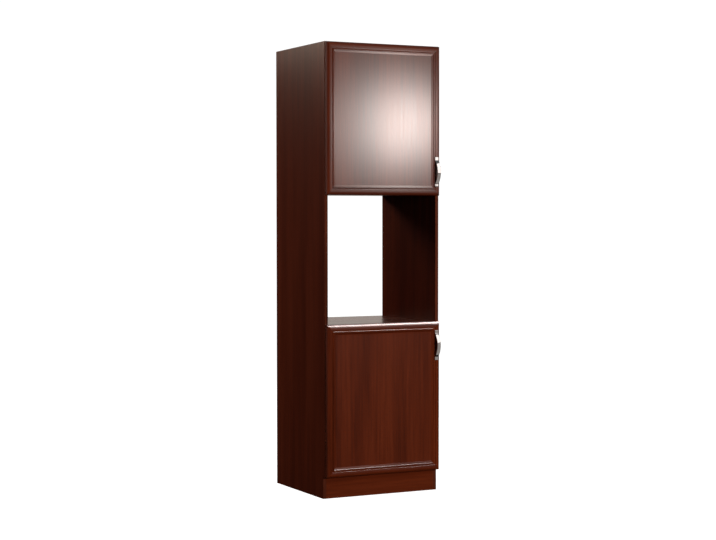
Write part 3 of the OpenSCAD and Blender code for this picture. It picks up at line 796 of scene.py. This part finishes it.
@dataclass
class FramedDoor:
    """A cupboard door: two stiles and two rails, mitred, round a thin panel.

    Its sizes are in millimetres.
    """

    cupboard: Cupboard
    finishes: Finishes
    section: FrameSection = FrameSection()
    cup_radius: float = 17.5
    cup_depth: float = 12.0
    screw_radius: float = 2.05
    screw_depth: float = 30.0
    smooth_degrees: float = 24.0

    def __post_init__(self) -> None:
        """Reads the door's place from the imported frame."""
        word = self.cupboard.value
        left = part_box(f"{word}_left_stile")
        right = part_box(f"{word}_right_stile")
        self.corner = Vector((left[0].x, left[1].y, left[0].z))
        self.width = (right[1].x - left[0].x) / MM
        self.height = (left[1].z - left[0].z) / MM

    def placed(self, length: float, turn: Matrix, at: Point) -> bmesh.types.BMesh:
        """A bar of the frame, turned and set in its place.

        Args:
            length: the bar's length in millimetres.
            turn: how it is turned from upright.
            at: its corner, in millimetres from the door's lower left rear corner.

        Returns:
            The bar in metres, in place.
        """
        mesh = self.section.bar(length)
        move = Matrix.Translation(self.corner) @ Matrix.Scale(MM, 4)
        move = move @ Matrix.Translation(at) @ turn
        bmesh.ops.transform(mesh, matrix=move, verts=mesh.verts)
        return mesh

    def build(self) -> None:
        """Builds the frame with its holes and dresses the panel."""
        word = self.cupboard.value
        body = f"{word}_door"
        upright = Matrix.Identity(4)
        mirrored = Matrix.Scale(-1, 4, (1, 0, 0))
        level = Matrix.Rotation(math.radians(90), 4, "Y")
        flipped = Matrix.Scale(-1, 4, (0, 0, 1)) @ level
        bars = {
            "left_stile": (self.height, upright, (0, 0, 0), self.finishes.stile),
            "right_stile": (self.height, mirrored, (self.width, 0, 0), self.finishes.stile),
            "top_rail": (self.width, level, (0, 0, self.height), self.finishes.rail),
            "bottom_rail": (self.width, flipped, (0, 0, 0), self.finishes.rail),
        }
        holes = {
            "left_stile": drills(self.cups(), self.cup_radius * MM, self.cup_depth * MM),
            "right_stile": drills(
                self.screws(), self.screw_radius * MM, self.screw_depth * MM
            ),
        }
        for part, (length, turn, at, material) in bars.items():
            mesh = self.placed(length, turn, at)
            if part in holes:
                mesh = carved(mesh, holes[part])
            make_piece(
                f"{word}_door_{part}",
                mesh,
                material,
                body,
                [f"{word}_{part}"],
                self.smooth_degrees,
            )
        dress(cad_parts[f"{word}_centre_panel"], self.finishes.panel)

    def cups(self) -> list[Vector]:
        """Finds the cup holes.

        Returns:
            The middles of the two holes, on the rear of the door.
        """
        radius = self.cup_radius * MM
        return [
            Vector((low.x + radius, self.corner.y, (low.z + high.z) / 2))
            for low, high in boxes_of(f"{self.cupboard.value}_hinge_cups")
        ]

    def screws(self) -> list[Vector]:
        """Finds the handle's screw holes.

        Returns:
            The middles of the two holes, on the rear of the door.
        """
        return [
            Vector(((low.x + high.x) / 2, self.corner.y, (low.z + high.z) / 2))
            for low, high in boxes_of(f"{self.cupboard.value}_handle_screws")
        ]


@dataclass
class BowHandle:
    """A polished bow handle: two grooved foot pads and a strap that arches between them.

    Its sizes are in millimetres.
    """

    cupboard: Cupboard
    finishes: Finishes
    foot_length: float = 13.0
    foot_height: float = 4.0
    strap: float = 5.0
    bow_steps: int = 48
    groove_width: float = 1.6
    groove_depth: float = 0.6
    arris: float = 1.1
    arris_degrees: float = 28.0

    def build(self) -> None:
        """Builds the handle over its CAD solid."""
        word = self.cupboard.value
        node = f"{word}_handle"
        low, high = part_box(node)
        width = (high.x - low.x) / MM
        reach = (high.y - low.y) / MM
        half = (high.z - low.z) / MM / 2
        foot_in = half - self.foot_length
        rise = reach - self.foot_height / 2
        radius = (foot_in**2 + rise**2) / (2 * rise)
        top = reach - radius
        turn_out = math.acos((self.foot_height - top) / radius)
        turn_in = math.acos((self.strap - top) / radius)
        pen = OutlinePen(-half, 0)
        pen.line((-half, self.foot_height))
        pen.line((-radius * math.sin(turn_out), self.foot_height))
        pen.arc(0, top, -2 * math.degrees(turn_out), self.bow_steps)
        pen.line((half, self.foot_height), (half, 0), (radius * math.sin(turn_in), 0))
        pen.arc(0, top - self.strap, 2 * math.degrees(turn_in), self.bow_steps)
        mesh = pen.solid(width)
        bmesh.ops.translate(mesh, verts=mesh.verts, vec=(0, 0, -width / 2))
        soften(mesh, self.arris, self.arris_degrees)
        mesh = carved(mesh, self.grooves(foot_in, width))
        # The drawing's X runs up, its Y towards the front and its Z to the right
        turn = Matrix(((0, 0, 1, 0), (0, -1, 0, 0), (1, 0, 0, 0), (0, 0, 0, 1)))
        centre = Vector(((low.x + high.x) / 2, high.y, (low.z + high.z) / 2))
        move = Matrix.Translation(centre) @ Matrix.Scale(MM, 4) @ turn
        bmesh.ops.transform(mesh, matrix=move, verts=mesh.verts)
        make_piece(
            f"{word}_bow_handle",
            mesh,
            self.finishes.chrome,
            f"{word}_door",
            [node],
        )

    def grooves(self, foot_in: float, width: float) -> bmesh.types.BMesh:
        """Cutters for the groove across each foot, in millimetres.

        Args:
            foot_in: distance from the handle's middle to the inner end of a foot.
            width: the handle's width.

        Returns:
            The two cutters.
        """
        mesh = bmesh.new()
        size = Matrix.Diagonal((self.groove_width, 2 * self.groove_depth, 2 * width, 1))
        for side in (-1, 1):
            at = Vector((side * (foot_in + 2 * self.groove_width), self.foot_height, 0))
            bmesh.ops.create_cube(mesh, size=1, matrix=Matrix.Translation(at) @ size)
        return mesh


# ---------------------------------------------------------------- edgings and fittings


@dataclass
class EdgingStrips:
    """Thin edging on the fronts of the boards, with its arrises scraped round."""

    finishes: Finishes
    arris_mm: float = 0.6
    arris_degrees: float = 30.0

    def strip(self, name: str, spans: list[tuple[Vector, Vector]], level: bool) -> None:
        """Builds one node's strips.

        Args:
            name: the CAD node.
            spans: lowest and highest corner of each strip, in metres.
            level: whether the strips lie level.
        """
        mesh = bmesh.new()
        for low, high in spans:
            size = high - low
            move = Matrix.Translation((low + high) / 2) @ Matrix.Diagonal((*size, 1))
            bmesh.ops.create_cube(mesh, size=1, matrix=move)
        soften(mesh, self.arris_mm * MM, self.arris_degrees)
        material = self.finishes.board_edging if level else self.finishes.edging
        make_piece(f"{name}_rounded", mesh, material, "carcass", [name])

    def build(self) -> None:
        """Builds the strips of both sides and of the boards."""
        plinth_low, plinth_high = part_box("plinth_board")
        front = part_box("left_side_panel")[0].y
        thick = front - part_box("left_edging")[0].y
        for name in ("left_edging", "right_edging"):
            low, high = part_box(name)
            upper = (
                Vector((low.x, low.y, plinth_high.z)),
                Vector((high.x, front, high.z)),
            )
            notch = (
                Vector((low.x, plinth_low.y, low.z)),
                Vector((high.x, plinth_low.y + thick, plinth_high.z)),
            )
            self.strip(name, [upper, notch], level=False)
        spans = []
        for board in (
            "bottom_panel", "oven_shelf", "niche_top_panel", "top_panel", "lower_shelf",
            "upper_shelf",
        ):
            low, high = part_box(board)
            spans.append(
                (Vector((low.x, low.y - thick, low.z)), Vector((high.x, low.y, high.z)))
            )
        self.strip("board_edgings", spans, level=True)


@dataclass(frozen=True)
class ScrewPlace:
    """Where a CAD screw sits and how large it is, in metres.

    It is measured from the corners of the screw's solid.
    """

    turn: Matrix
    shaft: float
    head: float
    length: float
    head_base: float

    @classmethod
    def measured(cls, corners: list[Vector]) -> "ScrewPlace":
        """Measures a screw.

        Args:
            corners: the corners of its solid.

        Returns:
            The screw's place. Its tip is the origin and its head lies up the Z axis.
        """
        low, high = corners_box(corners)
        size = high - low
        axis = max(range(3), key=lambda i: size[i])
        middle = (low + high) / 2
        across = [i for i in range(3) if i != axis]

        def radius(corner: Vector) -> float:
            """Distance of a corner from the screw's axis."""
            return math.hypot(*(corner[i] - middle[i] for i in across))

        head = max(radius(c) for c in corners)
        rim = [c[axis] for c in corners if radius(c) > HEAD_SHARE * head]
        head_high = abs(high[axis] - max(rim)) < abs(min(rim) - low[axis])
        tip = low[axis] if head_high else high[axis]
        shaft = max(radius(c) for c in corners if abs(c[axis] - tip) < TIP_MM * MM)
        base = min(abs(v - tip) for v in rim)
        origin = middle.copy()
        origin[axis] = tip
        ahead = Vector((0, 0, 0))
        ahead[axis] = 1 if head_high else -1
        turn = ahead.to_track_quat("Z", "Y").to_matrix().to_4x4()
        return cls(Matrix.Translation(origin) @ turn, shaft, head, size[axis], base)


@dataclass
class CrossScrews:
    """Zinc-plated screws with a domed head and a cross recess.

    The slots' width and length are shares of the head's width, their depth and the rim are
    shares of its height, and the tip is a share of the shaft's width.
    """

    node: str
    body: str
    finishes: Finishes
    slot_width: float = 0.16
    slot_length: float = 0.62
    slot_depth: float = 0.6
    rim: float = 0.3
    tip: float = 0.4
    sides: int = 32
    dome_degrees: int = 15
    weld_mm: float = 0.0005

    def screw(self, place: ScrewPlace) -> bmesh.types.BMesh:
        """One screw, in millimetres, with its tip on the origin.

        Args:
            place: its sizes.

        Returns:
            The screw's bmesh.
        """
        shaft, head = place.shaft / MM, place.head / MM
        base, length = place.head_base / MM, place.length / MM
        rim = base + (length - base) * self.rim
        dome = [
            (head * math.cos(angle), rim + (length - rim) * math.sin(angle))
            for angle in map(math.radians, range(0, 91, self.dome_degrees))
        ]
        mesh = bmesh.new()
        last = mesh.verts.new((0, 0, 0))
        for x, z in (
            (shaft * self.tip, 0), (shaft, shaft), (shaft, base), (head, base), *dome
        ):
            last = bmesh.ops.extrude_vert_indiv(mesh, verts=[last])["verts"][0]
            last.co = (x, 0, z)
        bmesh.ops.spin(
            mesh,
            geom=[*mesh.verts, *mesh.edges],
            cent=(0, 0, 0),
            axis=(0, 0, 1),
            angle=math.tau,
            steps=self.sides,
            use_merge=True,
        )
        bmesh.ops.remove_doubles(mesh, verts=mesh.verts, dist=self.weld_mm)
        slot = Matrix.Diagonal(
            (
                2 * head * self.slot_length,
                2 * head * self.slot_width,
                2 * self.slot_depth * (length - base),
                1,
            )
        )
        for degrees in (0, 90):
            turn = Matrix.Rotation(math.radians(degrees), 4, "Z")
            tool = bmesh.new()
            bmesh.ops.create_cube(
                tool, size=1, matrix=Matrix.Translation((0, 0, length)) @ turn @ slot
            )
            mesh = carved(mesh, tool)
        return mesh

    def build(self) -> None:
        """Builds a screw over each of the node's solids."""
        whole = bmesh.new()
        made: dict[Span, bpy.types.Mesh] = {}
        for corners in solids_of(self.node):
            place = ScrewPlace.measured(corners)
            key = (round(place.length, SIZE_PLACES), round(place.head, SIZE_PLACES))
            if key not in made:
                one = self.screw(place)
                made[key] = bpy.data.meshes.new("screw")
                one.to_mesh(made[key])
                one.free()
            start = len(whole.verts)
            whole.from_mesh(made[key])
            whole.verts.ensure_lookup_table()
            move = place.turn @ Matrix.Scale(MM, 4)
            bmesh.ops.transform(whole, matrix=move, verts=whole.verts[start:])
        for data in made.values():
            bpy.data.meshes.remove(data)
        name = f"{self.node}_cross_recessed"
        make_piece(name, whole, self.finishes.zinc, self.body, [self.node])


@dataclass
class SoftenedPart:
    """A pressed or moulded fitting: its CAD solid with the edges rounded over."""

    node: str
    body: str
    material: bpy.types.Material
    slot: str
    round_mm: float = 0.3
    round_degrees: float = 35.0
    flat_degrees: float = 0.5

    def build(self) -> None:
        """Builds the rounded copy."""
        mesh = merged_copy(self.node)
        bmesh.ops.dissolve_limit(
            mesh,
            angle_limit=math.radians(self.flat_degrees),
            verts=mesh.verts,
            edges=mesh.edges,
        )
        soften(mesh, self.round_mm * MM, self.round_degrees)
        name = f"{self.node}_softened"
        make_piece(name, mesh, self.material, self.body, [self.node])


@dataclass
class BareSolids:
    """The CAD solids that are shown as they are."""

    finishes: Finishes

    def plan(self) -> dict[str, bpy.types.Material]:
        """Picks each solid's finish.

        Returns:
            The finish by the name of the CAD node.
        """
        finishes = self.finishes
        made = {
            "left_side_panel": finishes.side,
            "right_side_panel": finishes.side,
            "top_panel": finishes.board,
            "niche_top_panel": finishes.board,
            "oven_shelf": finishes.board,
            "bottom_panel": finishes.board,
            "upper_shelf": finishes.board,
            "lower_shelf": finishes.board,
            "plinth_board": finishes.plinth,
            "upper_back_panel": finishes.hardboard,
            "lower_back_panel": finishes.hardboard,
            "cam_locks": finishes.zinc,
            "cam_bolts": finishes.zinc,
            "wood_dowels": finishes.beech,
        }
        for cupboard in Cupboard:
            for part in ("arm_pins", "cup_pins"):
                made[f"{cupboard.value}_{part}"] = finishes.zinc
            made[f"{cupboard.value}_bumpers"] = finishes.bumper
        return made

    def build(self) -> None:
        """Gives every solid its finish."""
        for name, material in self.plan().items():
            dress(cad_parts[name], material)
            log.info("%s: %s", name, material.name)


# ---------------------------------------------------------------- the studio


def hang(
    data: bpy.types.Light, at: Point, tint: str, only_on: tuple[str, ...]
) -> bpy.types.Object:
    """Hangs a light that the camera doesn't see.

    Args:
        data: the light's data.
        at: its place.
        tint: its colour.
        only_on: the pieces that it falls on, as a flagged studio lamp does. When it is empty,
            the light falls on all.

    Returns:
        The light.
    """
    data.color = linear(tint)[:3]
    light = bpy.data.objects.new(data.name, data)
    light.location = at
    light.visible_camera = False
    bpy.context.scene.collection.objects.link(light)
    if only_on:
        lit = bpy.data.collections.new(f"{light.name}_falls_on")
        for name in only_on:
            lit.objects.link(bpy.data.objects[name])
        light.light_linking.receiver_collection = lit
    return light


@dataclass(frozen=True)
class SoftLight:
    """A rectangular soft light.

    Its brightness is given as radiance. One that isn't glossy shows in no reflection, and
    one that isn't diffuse shows in reflections alone.
    """

    name: str
    at: Point
    towards: Point
    size: Span
    radiance: float
    tint: str = "ffffff"
    glossy: bool = True
    diffuse: bool = True
    only_on: tuple[str, ...] = ()

    def build(self) -> None:
        """Hangs the light in its place."""
        data = bpy.data.lights.new(self.name, "AREA")
        data.shape = "RECTANGLE"
        data.size, data.size_y = self.size
        data.energy = self.radiance * AREA_POWER * self.size[0] * self.size[1]
        light = hang(data, self.at, self.tint, self.only_on)
        aim = Vector(self.towards) - Vector(self.at)
        light.rotation_mode = "QUATERNION"
        light.rotation_quaternion = aim.to_track_quat("-Z", "Y")
        light.visible_glossy = self.glossy
        light.visible_diffuse = self.diffuse


@dataclass(frozen=True)
class SheenLamp:
    """A frosted lamp close to the doors that only their lacquer mirrors.

    It gives the soft glow on the upper door.
    """

    name: str
    at: Point
    radius: float
    power: float
    tint: str
    only_on: tuple[str, ...]

    def build(self) -> None:
        """Hangs the lamp in its place."""
        data = bpy.data.lights.new(self.name, "POINT")
        data.shadow_soft_size = self.radius
        data.energy = self.power
        lamp = hang(data, self.at, self.tint, self.only_on)
        lamp.visible_diffuse = False


DOOR_PIECES = tuple(
    f"{cupboard.value}_{part}"
    for cupboard in Cupboard
    for part in (
        "door_left_stile", "door_right_stile", "door_top_rail", "door_bottom_rail",
        "centre_panel",
    )
)
FITTINGS = tuple(
    f"{cupboard.value}_{part}"
    for cupboard in Cupboard
    for part in (
        "hinge_plates_softened", "hinge_arms_softened", "hinge_links_softened",
        "hinge_cups_softened", "arm_pins", "cup_pins", "plate_screws_cross_recessed",
        "arm_screws_cross_recessed", "cup_screws_cross_recessed",
    )
) + ("wall_brackets_softened", "wall_bracket_screws_cross_recessed")
REAR_PIECES = ("upper_back_panel", "lower_back_panel", "right_side_panel", "top_panel")
LOWER_RAILS = ("lower_door_top_rail", "lower_door_bottom_rail")
HANDLES = ("upper_bow_handle", "lower_bow_handle")
STUDIO_LIGHTS = (
    SheenLamp("door_sheen", (0.335, -0.72, 1.755), 0.18, 31.5, "fffdf8", DOOR_PIECES),
    SoftLight(
        "front_key", (0.3, -6.0, 1.6), (0.0, 0.0, 1.0), (1.5, 1.5), 22.0, glossy=False
    ),
    SoftLight(
        "rail_line", (0.95, -0.39, 2.56), (0.0, -0.26, 0.8), (1.4, 1.0), 60.0,
        diffuse=False, only_on=LOWER_RAILS,
    ),
    SoftLight(
        "handle_card", (1.3, -1.9, 2.3), (0.28, -0.3, 1.1), (2.4, 2.4), 1.2, "fff2ea",
        diffuse=False, only_on=HANDLES,
    ),
    SoftLight(
        "handle_low_card", (0.9, -1.6, 0.05), (0.28, -0.3, 1.1), (3.0, 2.6), 0.3, "f0e4da",
        diffuse=False, only_on=HANDLES,
    ),
    SoftLight("left_fill", (-4.0, 0.5, 2.5), (-0.3, 0.0, 1.0), (1.5, 1.5), 3.0),
    SoftLight(
        "rear_sheen", (-2.2, 3.8, 3.4), (-0.3, 0.0, 2.0), (2.5, 1.3), 4.2, "ffecd8"
    ),
    SoftLight(
        "fittings_card", (1.2, -2.6, 2.2), (-0.2, -0.2, 1.1), (3.0, 3.0), 0.9,
        only_on=FITTINGS,
    ),
    SoftLight(
        "rear_fill", (3.2, 3.0, 2.6), (0.1, 0.1, 1.0), (2.5, 2.5), 9.0,
        glossy=False, only_on=REAR_PIECES,
    ),
    SoftLight("rear_card", (1.6, 2.2, 1.0), (1.6, 0.0, 1.0), (2.2, 2.2), 0.58, "fff2e8"),
)


@dataclass
class Studio:
    """Camera, floor and backdrop, matched to the photograph's view, and the lights.

    The dome's heights are those of a direction on the unit sphere. The glow behind the
    picture is brighter than the dome that lights the unit.
    """

    width_px: int = 716
    height_px: int = 540
    focal_px: float = 1615.463
    axis_px: Span = (309.854, 271.117)
    eye: Point = (-3.57578, -6.85873, 1.28690)
    yaw: float = 25.801
    pitch: float = -1.829
    roll: float = -0.093
    sensor_mm: float = 36.0
    view_m: float = 100.0
    floor_m: float = 30.0
    floor_tint: str = "f4f4f4"
    floor_roughness: float = 0.9
    dome_heights: Span = (0.15, 0.8)
    dome_levels: Span = (0.004, 0.12)
    backdrop_level: float = 1.05

    def camera(self) -> None:
        """Places the camera."""
        yaw, pitch, roll = (math.radians(v) for v in (self.yaw, self.pitch, self.roll))
        ahead = Vector(
            (math.sin(yaw) * math.cos(pitch), math.cos(yaw) * math.cos(pitch), math.sin(pitch))
        )
        right = Vector((math.cos(yaw), -math.sin(yaw), 0))
        up = right.cross(ahead)
        across = right * math.cos(roll) + up * math.sin(roll)
        upward = up * math.cos(roll) - right * math.sin(roll)
        data = bpy.data.cameras.new("studio_camera")
        data.sensor_width = self.sensor_mm
        data.lens = self.focal_px * self.sensor_mm / self.width_px
        data.shift_x = (self.width_px / 2 - self.axis_px[0]) / self.width_px
        data.shift_y = (self.axis_px[1] - self.height_px / 2) / self.width_px
        data.clip_end = self.view_m
        camera = bpy.data.objects.new("studio_camera", data)
        turn = Matrix((across, upward, -ahead)).transposed().to_4x4()
        camera.matrix_world = Matrix.Translation(self.eye) @ turn
        bpy.context.scene.collection.objects.link(camera)
        bpy.context.scene.camera = camera

    def floor(self) -> None:
        """A wide pale floor that only the camera sees."""
        mesh = bmesh.new()
        bmesh.ops.create_grid(mesh, x_segments=1, y_segments=1, size=self.floor_m)
        floor = stood("studio_floor", mesh)
        material, shader = new_material("pale_studio_floor")
        shader.inputs["Base Color"].default_value = linear(self.floor_tint)
        shader.inputs["Roughness"].default_value = self.floor_roughness
        shader.inputs["Specular IOR Level"].default_value = 0.0
        shader.inputs["Emission Color"].default_value = linear("ffffff")
        shader.inputs["Emission Strength"].default_value = 1.0
        floor.data.materials.append(material)
        floor.visible_glossy = False
        floor.visible_diffuse = False

    def world(self) -> None:
        """A white backdrop, with a soft dome above and a dark ground in the reflections."""
        world = bpy.data.worlds.new("studio")
        world.use_nodes = True
        tree = world.node_tree
        tree.nodes.clear()
        place = add_node(tree, "ShaderNodeTexCoord")
        split = add_node(
            tree, "ShaderNodeSeparateXYZ", links={0: place.outputs["Generated"]}
        )
        dome = add_node(
            tree,
            "ShaderNodeMapRange",
            {
                "From Min": self.dome_heights[0],
                "From Max": self.dome_heights[1],
                "To Min": self.dome_levels[0],
                "To Max": self.dome_levels[1],
            },
            {"Value": split.outputs["Z"]},
            interpolation_type="SMOOTHSTEP",
        )
        path = add_node(tree, "ShaderNodeLightPath")
        level = add_node(
            tree,
            "ShaderNodeMix",
            {3: self.backdrop_level},
            {0: path.outputs["Is Camera Ray"], 2: dome.outputs[0]},
        )
        back = add_node(
            tree,
            "ShaderNodeBackground",
            {"Color": linear("ffffff")},
            {"Strength": level.outputs[0]},
        )
        add_node(tree, "ShaderNodeOutputWorld", links={"Surface": back.outputs[0]})
        bpy.context.scene.world = world

    def build(self) -> None:
        """Sets up the whole studio."""
        bpy.context.scene.view_settings.view_transform = "Standard"
        self.camera()
        self.floor()
        self.world()
        for light in STUDIO_LIGHTS:
            light.build()


def main() -> None:
    """Builds the unit's looks and the studio."""
    logging.basicConfig(level=logging.INFO, format="%(message)s")
    finishes = Finishes()
    nickel = (finishes.nickel, "nickel_steel")
    nylon = (finishes.nylon, "white_plastic")
    BareSolids(finishes).build()
    EdgingStrips(finishes).build()
    for cupboard in Cupboard:
        word = cupboard.value
        door = f"{word}_door"
        FramedDoor(cupboard, finishes).build()
        BowHandle(cupboard, finishes).build()
        for part, body in (
            ("plates", "carcass"), ("arms", "carcass"), ("links", f"{word}_links"),
            ("cups", door),
        ):
            SoftenedPart(f"{word}_hinge_{part}", body, *nickel).build()
        for part, body in (
            ("plate", "carcass"), ("arm", "carcass"), ("cup", door), ("handle", door)
        ):
            CrossScrews(f"{word}_{part}_screws", body, finishes).build()
        SoftenedPart(f"{word}_shelf_supports", "carcass", *nylon, round_mm=0.5).build()
    SoftenedPart("plinth_blocks", "carcass", *nylon, round_mm=0.8).build()
    SoftenedPart("wall_brackets", "carcass", *nickel, round_mm=0.4).build()
    for node in ("plinth_screws", "wall_bracket_screws"):
        CrossScrews(node, "carcass", finishes).build()
    Studio().build()


if __name__ == "__main__":
    main()
